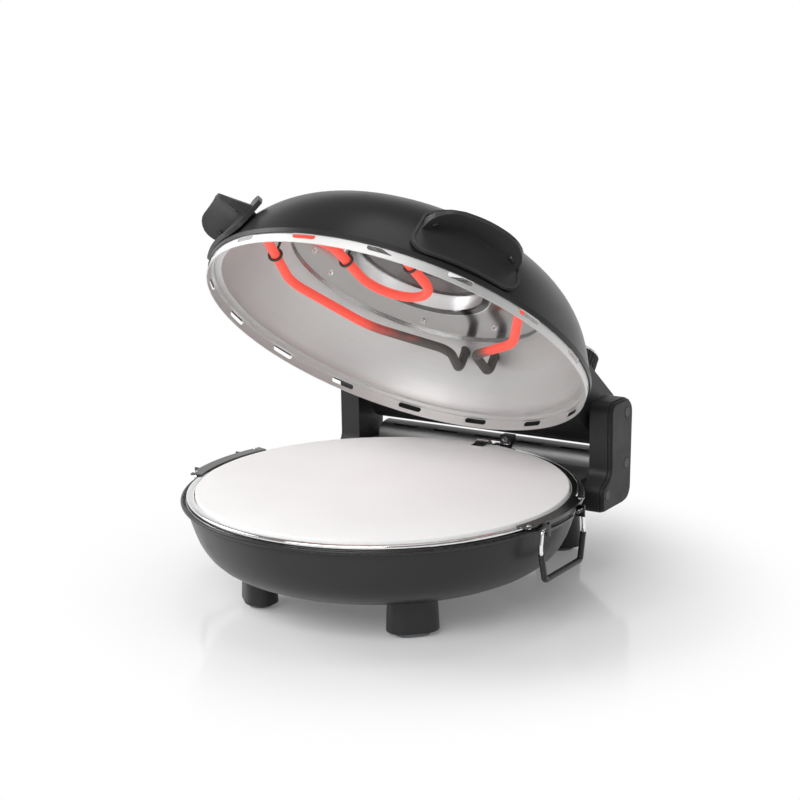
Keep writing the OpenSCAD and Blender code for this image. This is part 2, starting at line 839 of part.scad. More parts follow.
// Place on a straight run of the upper tube: x, y, direction
function on_run(i, part) =
    let (a = tube_run[i], b = tube_run[i + 1])
    [a[0] + (b[0] - a[0]) * part, a[1] + (b[1] - a[1]) * part, atan2(b[1] - a[1], b[0] - a[0])];
clip_places = [on_run(4, 0.57), on_run(6, 0.39), on_run(8, 0.61), on_run(10, 0.43)];

module element_clips() {
    clip_r = 1.2;
    framed() color("#2f2d2b")
        on_lid()
            for (p = clip_places)
                translate([p[0], p[1], tube_z])
                    rotate([0, 0, p[2]]) {
                        rotate([0, 90, 0])
                            rotate_extrude($fn = mid)
                                translate([tube_r + clip_r + 0.1, 0])
                                    circle(r = clip_r, $fn = 16);
                        translate([0, 0, tube_r + clip_r])
                            cylinder(r = clip_r, h = ceiling_h - tube_h - tube_r - clip_r, $fn = 24);
                    }
}

module ceiling_screws() {
    framed() color("#dededb")
        on_lid()
            for (a = screw_angles)
                rotate([0, 0, a])
                    translate([screw_ring, 0, 0]) {
                        translate([0, 0, ceiling_z - 1.8])
                            cylinder(r1 = 2.4, r2 = 3.2, h = 1.8, $fn = mid);
                        translate([0, 0, ceiling_z])
                            cylinder(r = 1.5, h = 1, $fn = mid);
                    }
}

// ---------- cup handles ----------

// Moves a drawing with X along the handle, Y up the dome and Z outwards onto the lid's side
module at_cup(side) {
    rotate([0, 0, side > 0 ? -45 : -135])
        translate([cup_r, 0, cup_z])
            rotate([90, 0, 90])
                rotate([-cup_tilt, 0, 0])
                    children();
}

// Flange outline: straight below, arched above
module cup_outline(g) {
    r = 14;
    low = -cup_h / 2 + 1;
    side_x = cup_l / 2;
    polygon(concat(arc([side_x - r, low + r], r + g, -90, 20, 7),
                   arc([0, -36], 63 + g, 50, 130, 8),
                   arc([-side_x + r, low + r], r + g, 160, 270, 7)));
}

// Layer that follows the lid's slope round its axis, from n1 to n2 in front of the flange's back
module cup_layer(n1, n2) {
    up = [-sin(cup_tilt), cos(cup_tilt)];
    out = [cos(cup_tilt), sin(cup_tilt)];
    start = [cup_r, cup_z];
    rotate_extrude($fn = fine)
        polygon([start - 40 * up + n1 * out, start - 40 * up + n2 * out,
                 start + 40 * up + n2 * out, start + 40 * up + n1 * out]);
}

// Piece of that layer inside a drawing on the flange
module on_layer(side, n1, n2) {
    intersection() {
        cup_layer(n1, n2);
        at_cup(side)
            translate([0, 0, -40])
                linear_extrude(60)
                    children();
    }
}

// Bar with a round top, which falls towards the front
module arch(top, r, fall) {
    translate([0, top, 0])
        rotate([fall, 0, 0])
            translate([0, -r, -60])
                cylinder(r = r, h = 120, $fn = 2 * fine);
}

// Places on the underside of the grip, with Z into the grip
module at_cup_screws() {
    turn = asin(screw_x / low_arch);
    for (s = [-1, 1])
        translate([0, grip_low, 0])
            rotate([low_fall, 0, 0])
                translate([0, -low_arch, 0])
                    rotate([0, 0, -s * turn])
                        translate([0, low_arch, screw_n])
                            rotate([-90, 0, 0])
                                children();
}

module handle(side) {
    corner = 18;
    framed() color("#262628")
        on_lid()
            difference() {
                union() {
                    difference() {
                        on_layer(side, 0, flange_t + flange_rim)
                            cup_outline(0);
                        on_layer(side, flange_t, flange_t + 9)
                            cup_outline(-2.4);
                    }
                    // grip with the finger space under it
                    at_cup(side)
                        intersection() {
                            difference() {
                                arch(grip_top, top_arch, top_fall);
                                arch(grip_low, low_arch, low_fall);
                            }
                            translate([0, 40, 0])
                                rotate([90, 0, 0])
                                    linear_extrude(80)
                                        polygon(concat([[-grip_l / 2, -2], [grip_l / 2, -2]],
                                                       arc([grip_l / 2 - corner, cup_out - corner], corner, 0, 90, 6),
                                                       arc([-grip_l / 2 + corner, cup_out - corner], corner, 90, 180, 6)));
                        }
                    on_layer(side, -26, 0.5)
                        obround_line(70, 14);
                }
                at_cup(side)
                    at_cup_screws()
                        translate([0, 0, -2])
                            cylinder(r = 1.6, h = 9, $fn = mid);
                dome_solid(0.1);
            }
}

module handle_screws() {
    framed() color("#8f8f8c")
        on_lid()
            for (side = [-1, 1])
                at_cup(side)
                    at_cup_screws() {
                        translate([0, 0, -1.5])
                            cylinder(r1 = 2.4, r2 = 3.2, h = 1.4, $fn = mid);
                        translate([0, 0, -0.2])
                            cylinder(r = 1.5, h = 6, $fn = mid);
                    }
}

// ---------- rear housing and knob ----------

module rear_housing() {
    top_round = 16;
    framed() color("#222224")
        on_lid()
            difference() {
                translate([-housing_x, 0, 0])
                    rotate([90, 0, 90])
                        linear_extrude(2 * housing_x)
                            polygon(concat([[housing_front, housing_bot]],
                                           arc([hinge_y, hinge_z], barrel_r, 240, 360, 10),
                                           arc([housing_back - top_round, housing_top - top_round], top_round, 0, 90, 6),
                                           arc([housing_front + 5, housing_top - 5], 5, 90, 180, 4)));
                dome_solid(0.5);
                band(0, edge_r + 0.5, edge_z - 10, edge_z + band_h + 0.5);
                for (s = [-1, 1])
                    translate([s * (housing_x + 1), hinge_y, hinge_z])
                        rotate([0, -s * 90, 0])
                            cylinder(r = pin_r + run, h = housing_x + 2 - pin_in, $fn = mid);
                translate([knob_x, knob_y, housing_top - 17.2])
                    cylinder(r = 11, h = 13.2, $fn = mid);
                translate([knob_x, knob_y, housing_top - 10])
                    cylinder(r = spindle_r + 1.5, h = 20, $fn = mid);
            }
}

module thermostat() {
    framed() color("#b9a77c")
        on_lid()
            difference() {
                translate([knob_x, knob_y, housing_top - 17])
                    cylinder(r = 10.8, h = 12.8, $fn = mid);
                translate([knob_x, knob_y, housing_top - 16])
                    cylinder(r = spindle_r + run, h = 20, $fn = mid);
            }
}

module knob_spindle() {
    framed() color("#c9c9c6")
        on_lid()
            translate([knob_x, knob_y, housing_top - 15.5])
                cylinder(r = spindle_r, h = 15.5 + knob_h - 4, $fn = mid);
}

module knob() {
    ribs = 30;
    steps = 6;                                 // points of the outline for each rib
    rib = 0.5;
    count = ribs * steps;
    outline = [for (i = [0:count - 1]) let (a = i * 360 / count, r = knob_d / 2 - rib + rib * cos(a * ribs))
        [r * cos(a), r * sin(a)]];
    framed() color("#1a1a1c")
        on_lid()
            translate([knob_x, knob_y, housing_top + 0.6])
                difference() {
                    linear_extrude(knob_h - 2.4)
                        polygon(outline);
                    translate([0, 0, -1])
                        cylinder(r = spindle_r + 0.02, h = knob_h - 3.6, $fn = mid);
                }
}

module knob_cap() {
    framed() color("#d9d9d6")
        on_lid()
            translate([knob_x, knob_y, housing_top + 0.6 + knob_h - 2.4])
                rotate_extrude($fn = fine)
                    polygon([[0, 0], [knob_d / 2, 0], [knob_d / 2, 1.4], [knob_d / 2 - 1, 2.4], [0, 2.4]]);
}

base_shell();
base_reflector();
stone_ring();
pizza_stone();
lower_element();
lower_element_clips();
feet();
foot_pads();
hinge_base();
rear_deck();
cord_gland();
arm(-1);  // arm_left
arm(1);  // arm_right
arm_cover(-1);  // arm_cover_left
arm_cover(1);  // arm_cover_right
cover_screws();
hinge_pin(-1);  // hinge_pin_left
hinge_pin(1);  // hinge_pin_right
bracket(-1);  // bracket_left
bracket(1);  // bracket_right
bracket_rivets();
bail(-1);  // bail_left
bail(1);  // bail_right
bail_sleeve(-1);  // bail_sleeve_left
bail_sleeve(1);  // bail_sleeve_right
stone_clip();
clip_block();
clip_screw();
lid_shell();
lid_reflector();
ceiling_disc();
window_collar();
window_glass();
window_frame();
upper_element();
element_clips();
ceiling_screws();
handle(-1);  // handle_left
handle(1);  // handle_right
handle_screws();
rear_housing();
thermostat();
knob_spindle();
knob();
knob_cap();
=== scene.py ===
"""Visual model of an electric pizza maker. Metres, same frame as the CAD: +Z up, -Y front, hinge at +Y."""
import math

import bmesh
import bpy
from mathutils import Matrix, Vector


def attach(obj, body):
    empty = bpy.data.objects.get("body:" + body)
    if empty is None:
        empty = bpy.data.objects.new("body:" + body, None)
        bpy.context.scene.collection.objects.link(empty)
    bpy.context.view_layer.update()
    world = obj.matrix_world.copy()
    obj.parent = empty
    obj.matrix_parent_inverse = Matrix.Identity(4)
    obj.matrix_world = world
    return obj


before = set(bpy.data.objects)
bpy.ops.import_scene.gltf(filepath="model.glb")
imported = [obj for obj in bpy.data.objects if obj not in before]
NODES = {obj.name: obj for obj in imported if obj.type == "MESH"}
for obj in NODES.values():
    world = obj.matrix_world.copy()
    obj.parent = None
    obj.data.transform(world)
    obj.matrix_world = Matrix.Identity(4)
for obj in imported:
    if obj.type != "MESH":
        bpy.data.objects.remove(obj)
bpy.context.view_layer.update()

# ---------- sizes shared with the CAD, in metres ----------
MM = 0.001
LID_OPEN = math.radians(38.4)
CENTRE = Vector((0, -19.1 * MM, 0))   # on the floor under the centre of the stone
HINGE = CENTRE + Vector((0, 178 * MM, 120 * MM))
EDGE_Z = 101.1 * MM                   # lower edge of the closed lid's shell
CEILING_Z = EDGE_Z + 54 * MM
COLLAR_R = 65 * MM                    # outside of the window collar's flange

# The upper tube glows in front of a slanting line across the closed lid and fades towards its terminals
GLOW_SLANT = -0.216
GLOW_FULL = 61 * MM
GLOW_NONE = 81 * MM
GLOW_SEEN = 0.50                      # seen directly
GLOW_MIRRORED = 0.40                  # seen in a mirror
GLOW_LIGHT = 0.06                     # cast on the pieces around
HOUSING_TOP = EDGE_Z + 48.5 * MM
KNOB = CENTRE + Vector((90 * MM, 138 * MM, HOUSING_TOP))
KNOB_TOP = 17.6 * MM                  # top of the knob's cap above the housing

# Lid frame: where a point of the closed lid is when the lid stands open as modelled
LID = Matrix.Translation(HINGE) @ Matrix.Rotation(-LID_OPEN, 4, "X") @ Matrix.Translation(-HINGE)


# ---------- material building ----------
class Nodes:
    """Small helper that builds a node tree."""

    def __init__(self, name):
        self.mat = bpy.data.materials.new(name)
        self.mat.use_nodes = True
        self.tree = self.mat.node_tree
        self.tree.nodes.clear()
        self.out = self.add("ShaderNodeOutputMaterial")
        self.bsdf = self.add("ShaderNodeBsdfPrincipled")
        self.link(self.bsdf.outputs[0], self.out.inputs[0])
        self.coord = self.add("ShaderNodeTexCoord").outputs["Object"]

    def add(self, kind, **props):
        node = self.tree.nodes.new(kind)
        for key, value in props.items():
            setattr(node, key, value)
        return node

    def link(self, a, b):
        self.tree.links.new(a, b)

    def set(self, **values):
        for key, value in values.items():
            self.bsdf.inputs[key.replace("_", " ")].default_value = value

    def noise(self, scale, detail=2.0, rough=0.5, vector=None):
        node = self.add("ShaderNodeTexNoise")
        node.inputs["Scale"].default_value = scale
        node.inputs["Detail"].default_value = detail
        node.inputs["Roughness"].default_value = rough
        self.link(vector or self.coord, node.inputs["Vector"])
        return node.outputs["Fac"]

    def remap(self, value, low, high, from_low=0.3, from_high=0.7):
        node = self.add("ShaderNodeMapRange")
        node.inputs["From Min"].default_value = from_low
        node.inputs["From Max"].default_value = from_high
        node.inputs["To Min"].default_value = low
        node.inputs["To Max"].default_value = high
        self.link(value, node.inputs["Value"])
        return node.outputs["Result"]

    def maths(self, op, a, b=None, c=None):
        node = self.add("ShaderNodeMath", operation=op)
        for i, v in enumerate((a, b, c)):
            if v is None:
                continue
            if isinstance(v, (int, float)):
                node.inputs[i].default_value = v
            else:
                self.link(v, node.inputs[i])
        return node.outputs[0]

    def mix(self, factor, a, b):
        node = self.add("ShaderNodeMix", data_type="RGBA")
        self.link(factor, node.inputs["Factor"])
        for key, v in (("A", a), ("B", b)):
            socket = [s for s in node.inputs if s.name == key and s.type == "RGBA"][0]
            if isinstance(v, (tuple, list)):
                socket.default_value = (*v, 1)
            else:
                self.link(v, socket)
        return [s for s in node.outputs if s.type == "RGBA"][0]

    def bump(self, height, distance, strength=1.0, edge=None):
        node = self.add("ShaderNodeBump")
        node.inputs["Distance"].default_value = distance
        node.inputs["Strength"].default_value = strength
        self.link(height, node.inputs["Height"])
        if edge:
            bevel = self.add("ShaderNodeBevel", samples=4)
            bevel.inputs["Radius"].default_value = edge
            self.link(bevel.outputs[0], node.inputs["Normal"])
        self.link(node.outputs[0], self.bsdf.inputs["Normal"])
        return node

    def edge_mask(self, radius):
        """1 on convex and concave edges, 0 on flat faces."""
        bevel = self.add("ShaderNodeBevel", samples=4)
        bevel.inputs["Radius"].default_value = radius
        geo = self.add("ShaderNodeNewGeometry")
        dot = self.add("ShaderNodeVectorMath", operation="DOT_PRODUCT")
        self.link(bevel.outputs[0], dot.inputs[0])
        self.link(geo.outputs["Normal"], dot.inputs[1])
        return self.remap(dot.outputs["Value"], 1.0, 0.0, 0.80, 0.995)

    def lid_coord(self):
        """Coordinates from the stone's centre, turned back to where the lid is closed."""
        node = self.add("ShaderNodeMapping", vector_type="POINT")
        back = Matrix.Translation(-CENTRE) @ LID.inverted()
        node.inputs["Location"].default_value = back.translation
        node.inputs["Rotation"].default_value = back.to_euler()
        self.link(self.coord, node.inputs["Vector"])
        return node.outputs[0]

    def base_coord(self):
        """Coordinates from the stone's centre."""
        node = self.add("ShaderNodeVectorMath", operation="SUBTRACT")
        self.link(self.coord, node.inputs[0])
        node.inputs[1].default_value = CENTRE
        return node.outputs[0]

    def spun(self, vector, across=900.0, around=2.0):
        """Coordinates for marks that run round the vertical axis."""
        split = self.add("ShaderNodeSeparateXYZ")
        self.link(vector, split.inputs[0])
        angle = self.maths("ARCTAN2", split.outputs["Y"], split.outputs["X"])
        x2 = self.maths("MULTIPLY", split.outputs["X"], split.outputs["X"])
        y2 = self.maths("MULTIPLY", split.outputs["Y"], split.outputs["Y"])
        radius = self.maths("SQRT", self.maths("ADD", x2, y2))
        join = self.add("ShaderNodeCombineXYZ")
        self.link(self.maths("MULTIPLY", self.maths("COSINE", angle), around), join.inputs[0])
        self.link(self.maths("MULTIPLY", radius, across), join.inputs[1])
        self.link(self.maths("MULTIPLY", split.outputs["Z"], across), join.inputs[2])
        return join.outputs[0]


def satin_paint(name, base, rough):
    """Satin enamel: faint orange peel, slightly uneven gloss, a little paler on worn edges."""
    n = Nodes(name)
    peel = n.noise(420, 2, 0.55)
    fine = n.noise(2600, 2, 0.5)
    n.link(n.remap(n.noise(30, 3, 0.6), rough - 0.035, rough + 0.035), n.bsdf.inputs["Roughness"])
    shade = n.remap(n.noise(9, 2, 0.5), 0.88, 1.12)
    wear = n.maths("MULTIPLY", n.edge_mask(0.0011), n.remap(n.noise(160, 3, 0.6), 0.0, 0.32, 0.45, 0.75))
    tone = n.add("ShaderNodeVectorMath", operation="SCALE")
    tone.inputs[0].default_value = base
    n.link(shade, tone.inputs["Scale"])
    worn = tuple(min(1, 3.2 * c + 0.02) for c in base)
    n.link(n.mix(wear, tone.outputs[0], worn), n.bsdf.inputs["Base Color"])
    n.bump(n.maths("ADD", peel, n.maths("MULTIPLY", fine, 0.35)), 0.00004, 0.55, 0.0006)
    n.set(Specular_IOR_Level=0.36, Coat_Weight=0.05, Coat_Roughness=0.25)
    return n.mat


def moulded_plastic(name, base, rough, grain=5200, depth=0.00006):
    """Moulded plastic with a fine spark-eroded grain and soft edges."""
    n = Nodes(name)
    fine = n.noise(grain, 3, 0.65)
    cell = n.add("ShaderNodeTexVoronoi")
    cell.inputs["Scale"].default_value = grain * 0.42
    n.link(n.coord, cell.inputs["Vector"])
    n.link(n.remap(n.noise(38, 3, 0.6), rough - 0.05, rough + 0.06), n.bsdf.inputs["Roughness"])
    wear = n.maths("MULTIPLY", n.edge_mask(0.0009), n.remap(n.noise(220, 3, 0.6), 0.0, 0.4, 0.4, 0.75))
    patch = n.remap(n.noise(14, 2, 0.5), 0.9, 1.1)
    tone = n.add("ShaderNodeVectorMath", operation="SCALE")
    tone.inputs[0].default_value = base
    n.link(patch, tone.inputs["Scale"])
    n.link(n.mix(wear, tone.outputs[0], tuple(2.4 * c + 0.01 for c in base)), n.bsdf.inputs["Base Color"])
    n.bump(n.maths("ADD", fine, n.maths("MULTIPLY", cell.outputs["Distance"], 0.6)), depth, 0.6, 0.0007)
    n.set(Specular_IOR_Level=0.45)
    return n.mat


def sheet_metal(name, base, rough, spin=None, edge=0.0005, streak=0.05, depth=0.00001, strength=0.35):
    """Pressed or spun sheet with fine marks, faint smudges and soft edges."""
    n = Nodes(name)
    vector = None
    if spin == "lid":
        vector = n.spun(n.lid_coord())
    elif spin == "base":
        vector = n.spun(n.base_coord())
    marks = n.noise(1.0, 3, 0.6, vector) if vector else n.noise(1500, 2, 0.5)
    smudge = n.noise(22, 3, 0.6)
    blotch = n.remap(smudge, -0.03, 0.05)
    n.link(n.maths("ADD", n.remap(marks, rough - streak, rough + streak), blotch), n.bsdf.inputs["Roughness"])
    dull = tuple(c * (1 - 2.4 * streak) for c in base)
    n.link(n.mix(n.remap(marks, 0.0, 0.55), base, dull), n.bsdf.inputs["Base Color"])
    n.bump(marks, depth, strength, edge)
    n.set(Metallic=1.0)
    return n.mat


def chrome(name="chrome_plating"):
    n = Nodes(name)
    n.link(n.remap(n.noise(45, 4, 0.65), 0.04, 0.13), n.bsdf.inputs["Roughness"])
    n.link(n.mix(n.remap(n.noise(130, 2, 0.5), 0.0, 1.0), (0.86, 0.86, 0.855), (0.8, 0.8, 0.8)),
           n.bsdf.inputs["Base Color"])
    n.bump(n.noise(300, 2, 0.5), 0.00001, 0.2, 0.0004)
    n.set(Metallic=1.0)
    return n.mat


def collar_steel(name="collar_steel"):
    """Plated window collar: bright wall up to the glass, flange painted dark as a painted reflection of dark
    surroundings, bright outer lip.
    """
    n = Nodes(name)
    split = n.add("ShaderNodeSeparateXYZ")
    n.link(n.lid_coord(), split.inputs[0])
    wall = n.remap(split.outputs["Z"], 0.0, 1.0, CEILING_Z - 0.3 * MM, CEILING_Z + 0.6 * MM)
    x2 = n.maths("MULTIPLY", split.outputs["X"], split.outputs["X"])
    y2 = n.maths("MULTIPLY", split.outputs["Y"], split.outputs["Y"])
    lip = n.remap(n.maths("SQRT", n.maths("ADD", x2, y2)), 0.0, 1.0, COLLAR_R - 1.6 * MM, COLLAR_R - 0.8 * MM)
    bright = n.maths("MAXIMUM", wall, lip)
    # painted reflection: the flange's plating colour is painted dark, mottled by noise, where the chrome
    # would mirror dark surroundings
    painted_dark_reflection = n.mix(n.remap(n.noise(90, 3, 0.6), 0.0, 1.0), (0.10, 0.10, 0.105), (0.17, 0.165, 0.16))
    n.link(n.mix(bright, painted_dark_reflection, (0.92, 0.92, 0.915)), n.bsdf.inputs["Base Color"])
    polish = n.remap(n.noise(45, 4, 0.65), 0.08, 0.15)
    n.link(n.maths("MULTIPLY_ADD", wall, 0.26, polish), n.bsdf.inputs["Roughness"])
    n.bump(n.noise(300, 2, 0.5), 0.00001, 0.2, 0.0003)
    n.set(Metallic=1.0)
    return n.mat


def cordierite(name="baking_stone"):
    """Pressed white stone: fine pores, sparse pale and grey specks."""
    n = Nodes(name)
    pores = n.noise(1700, 4, 0.7)
    specks = n.remap(n.noise(800, 3, 0.7), 0.0, 1.0, 0.60, 0.72)
    clouds = n.remap(n.noise(11, 3, 0.55), 0.0, 1.0, 0.35, 0.7)
    body = n.mix(clouds, (0.95, 0.95, 0.945), (0.92, 0.92, 0.915))
    n.link(n.mix(n.maths("MULTIPLY", specks, 0.25), body, (0.68, 0.675, 0.665)), n.bsdf.inputs["Base Color"])
    n.link(n.remap(pores, 0.72, 0.92), n.bsdf.inputs["Roughness"])
    n.bump(pores, 0.00009, 0.6, 0.0008)
    n.set(Specular_IOR_Level=0.3)
    return n.mat


def heating_tube(name, hot):
    """Oxidised steel tube; a hot one glows away from its terminals."""
    n = Nodes(name)
    scale = n.noise(900, 4, 0.7)
    dark = n.mix(n.remap(scale, 0.0, 1.0), (0.075, 0.07, 0.066), (0.15, 0.14, 0.13))
    n.link(n.remap(scale, 0.42, 0.62), n.bsdf.inputs["Roughness"])
    n.bump(scale, 0.00003, 0.5)
    if not hot:
        n.link(dark, n.bsdf.inputs["Base Color"])
        n.set(Metallic=0.55)
        return n.mat
    split = n.add("ShaderNodeSeparateXYZ")
    n.link(n.lid_coord(), split.inputs[0])
    slant = n.maths("MULTIPLY_ADD", split.outputs["X"], GLOW_SLANT, split.outputs["Y"])
    along = n.maths("ADD", slant, n.remap(n.noise(60, 2, 0.5), -0.003, 0.003))
    glow = n.add("ShaderNodeMapRange", interpolation_type="SMOOTHSTEP")
    glow.inputs["From Min"].default_value = GLOW_NONE
    glow.inputs["From Max"].default_value = GLOW_FULL
    n.link(along, glow.inputs["Value"])
    heat = glow.outputs["Result"]
    n.link(n.mix(heat, dark, (0.80, 0.10, 0.07)), n.bsdf.inputs["Base Color"])
    n.link(n.mix(heat, (0, 0, 0), (0.92, 0.085, 0.055)), n.bsdf.inputs["Emission Color"])
    # the glow is for the eye and for the polished sheets: little of it lights the rest
    path = n.add("ShaderNodeLightPath")
    direct = n.maths("MULTIPLY_ADD", path.outputs["Is Camera Ray"], GLOW_SEEN, GLOW_LIGHT)
    total = n.maths("MULTIPLY_ADD", path.outputs["Is Glossy Ray"], GLOW_MIRRORED, direct)
    n.link(total, n.bsdf.inputs["Emission Strength"])
    return n.mat


def rubber(name, base, rough=0.7):
    n = Nodes(name)
    grain = n.noise(2400, 3, 0.6)
    n.link(n.mix(n.remap(n.noise(60, 3, 0.6), 0.0, 1.0), base, tuple(c * 0.8 for c in base)),
           n.bsdf.inputs["Base Color"])
    n.link(n.remap(grain, rough - 0.07, rough + 0.07), n.bsdf.inputs["Roughness"])
    n.bump(grain, 0.00005, 0.5, 0.0006)
    n.set(Specular_IOR_Level=0.4)
    return n.mat


def window_glass(name="window_glass"):
    n = Nodes(name)
    n.link(n.remap(n.noise(30, 3, 0.6), 0.0, 0.03), n.bsdf.inputs["Roughness"])
    n.link(n.mix(n.remap(n.noise(8, 2, 0.5), 0, 1), (0.95, 0.97, 0.98), (0.92, 0.95, 0.96)),
           n.bsdf.inputs["Base Color"])
    n.set(Transmission_Weight=1.0, IOR=1.52, Specular_IOR_Level=1.0)
    return n.mat


PAINT = satin_paint("satin_black", (0.0150, 0.0150, 0.0157), 0.35)
DECK = sheet_metal("deck_sheet", (0.32, 0.32, 0.32), 0.46, streak=0.02, strength=0.15)
BRACKET_STEEL = sheet_metal("bracket_sheet", (0.10, 0.10, 0.10), 0.2, streak=0.03, strength=0.2)
BLACK_STEEL = satin_paint("coated_steel", (0.02, 0.02, 0.021), 0.34)
PLASTIC = moulded_plastic("black_plastic", (0.021, 0.021, 0.0225), 0.46)
COVER_PLASTIC = moulded_plastic("cover_plastic", (0.014, 0.014, 0.015), 0.54)
# painted light: the handles' black plastic is paler than the other black plastic, standing in for the light
# their flanges catch from the front
HANDLE_PLASTIC_PAINTED_LIGHT = moulded_plastic("handle_plastic_painted_light", (0.034, 0.034, 0.036), 0.40)
KNOB_BLACK = moulded_plastic("knob_plastic", (0.016, 0.016, 0.017), 0.42, 6000)
REFLECTOR = sheet_metal("lid_reflector_sheet", (0.73, 0.725, 0.72), 0.54, "lid", streak=0.018, strength=0.1)
MIRROR = sheet_metal("ceiling_sheet", (0.66, 0.66, 0.655), 0.17, "lid", streak=0.015, strength=0.1)
BASE_SHEET = sheet_metal("base_reflector_sheet", (0.72, 0.72, 0.71), 0.28, "base", streak=0.02, strength=0.15)
STEEL = sheet_metal("plain_steel", (0.58, 0.58, 0.57), 0.3)
DARK_STEEL = heating_tube("oxidised_wire", False)
BRASS = sheet_metal("thermostat_body", (0.66, 0.54, 0.31), 0.34)
CHROME = chrome()
COLLAR = collar_steel()
STONE = cordierite()
TUBE_HOT = heating_tube("heating_tube_hot", True)
TUBE_COLD = heating_tube("heating_tube_cold", False)
SLEEVE = rubber("bail_sleeve", (0.016, 0.016, 0.017), 0.24)
PAD = rubber("foot_pad", (0.30, 0.31, 0.32), 0.68)
GLASS = window_glass()

FINISH = {
    PAINT: ["base_shell", "lid_shell", "window_frame"],
    DECK: ["rear_deck"],
    BRACKET_STEEL: ["bracket_left", "bracket_right"],
    BLACK_STEEL: ["cover_screws", "handle_screws"],
    PLASTIC: ["feet", "hinge_base", "cord_gland", "arm_left", "arm_right", "clip_block", "rear_housing"],
    COVER_PLASTIC: ["arm_cover_left", "arm_cover_right"],
    HANDLE_PLASTIC_PAINTED_LIGHT: ["handle_left", "handle_right"],
    KNOB_BLACK: ["knob"],
    REFLECTOR: ["lid_reflector"],
    MIRROR: ["ceiling_disc"],
    BASE_SHEET: ["base_reflector", "lower_element_clips"],
    STEEL: ["hinge_pin_left", "hinge_pin_right", "knob_spindle"],
    DARK_STEEL: ["element_clips"],
    BRASS: ["thermostat"],
    CHROME: ["stone_ring", "bracket_rivets", "bail_left", "bail_right", "stone_clip", "clip_screw",
             "ceiling_screws", "knob_cap"],
    COLLAR: ["window_collar"],
    STONE: ["pizza_stone"],
    TUBE_HOT: ["upper_element"],
    TUBE_COLD: ["lower_element"],
    SLEEVE: ["bail_sleeve_left", "bail_sleeve_right"],
    PAD: ["foot_pads"],
    GLASS: ["window_glass"],
}
for material, names in FINISH.items():
    for name in names:
        if name not in NODES:
            continue
        data = NODES[name].data
        data.materials.clear()
        data.materials.append(material)


# ---------- pieces ----------
def mesh_object(name, bm, material, body, place=Matrix.Identity(4), smooth=True):
    """Makes an object from a bmesh, puts it in place and lets it ride on a body."""
    data = bpy.data.meshes.new(name)
    bm.to_mesh(data)
    bm.free()
    data.materials.append(material)
    for face in data.polygons:
        face.use_smooth = smooth
    obj = bpy.data.objects.new(name, data)
    bpy.context.scene.collection.objects.link(obj)
    obj.data.transform(place)
    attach(obj, body)
    return obj


def pointer(length=12 * MM, width=1.6 * MM, proud=0.25 * MM, sunk=0.6 * MM, start=5 * MM):
    """Round-ended raised line on the knob's cap, from near the centre towards the rim."""
    bm = bmesh.new()
    half, arc = width / 2, 10
    outline = []
    for centre_y, turn in ((start, math.pi), (start + length, 0.0)):
        for i in range(arc + 1):
            angle = turn + math.pi * i / arc
            outline.append((half * math.cos(angle), centre_y + half * math.sin(angle)))
    base = bm.faces.new([bm.verts.new((x, y, -sunk)) for x, y in outline])
    bm.faces.ensure_lookup_table()
    raised = bmesh.ops.extrude_face_region(bm, geom=[base])
    top = [v for v in raised["geom"] if isinstance(v, bmesh.types.BMVert)]
    bmesh.ops.translate(bm, vec=(0, 0, proud + sunk), verts=top)
    bmesh.ops.recalc_face_normals(bm, faces=bm.faces)
    place = LID @ Matrix.Translation(KNOB + Vector((0, 0, KNOB_TOP)))
    obj = mesh_object("knob_pointer", bm, KNOB_BLACK, "knob_body", place, smooth=False)
    edge = obj.modifiers.new("soft_edge", "BEVEL")
    edge.width = 0.08 * MM
    edge.segments = 2
    edge.limit_method = "ANGLE"
    return obj


pointer()


# ---------- smooth round sheets, softer edges on the mouldings ----------
def smoothing_group(angle):
    """Geometry nodes that join the faces of a CAD mesh and smooth all edges flatter than the angle."""
    group = bpy.data.node_groups.new("smooth_faces", "GeometryNodeTree")
    group.interface.new_socket("Geometry", in_out="INPUT", socket_type="NodeSocketGeometry")
    group.interface.new_socket("Geometry", in_out="OUTPUT", socket_type="NodeSocketGeometry")

    def add(kind, **props):
        node = group.nodes.new(kind)
        for key, value in props.items():
            setattr(node, key, value)
        return node

    start, end = add("NodeGroupInput"), add("NodeGroupOutput")
    merge = add("GeometryNodeMergeByDistance")
    merge.inputs["Distance"].default_value = 0.00002
    plain = add("GeometryNodeRemoveAttribute")
    plain.inputs["Name"].default_value = "custom_normal"
    whole = add("GeometryNodeSetShadeSmooth", domain="FACE")
    sharp = add("GeometryNodeSetShadeSmooth", domain="EDGE")
    sharp.inputs["Shade Smooth"].default_value = False
    bend = add("GeometryNodeInputMeshEdgeAngle")
    steep = add("FunctionNodeCompare", data_type="FLOAT", operation="GREATER_THAN")
    steep.inputs[1].default_value = angle
    group.links.new(bend.outputs["Unsigned Angle"], steep.inputs[0])
    group.links.new(steep.outputs["Result"], sharp.inputs["Selection"])
    chain = [start, plain, merge, whole, sharp, end]
    for a, b in zip(chain, chain[1:]):
        group.links.new(a.outputs[0], b.inputs[0])
    return group


SMOOTH = smoothing_group(math.radians(24))
SMOOTHED = ("base_shell", "base_reflector", "stone_ring", "pizza_stone", "rear_deck", "lid_shell",
            "lid_reflector", "window_frame", "arm_left", "arm_right", "arm_cover_left", "arm_cover_right",
            "handle_left", "handle_right", "rear_housing", "hinge_base", "knob_cap", "bracket_left",
            "bracket_right")
for name in SMOOTHED:
    NODES[name].modifiers.new("smooth_faces", "NODES").node_group = SMOOTH

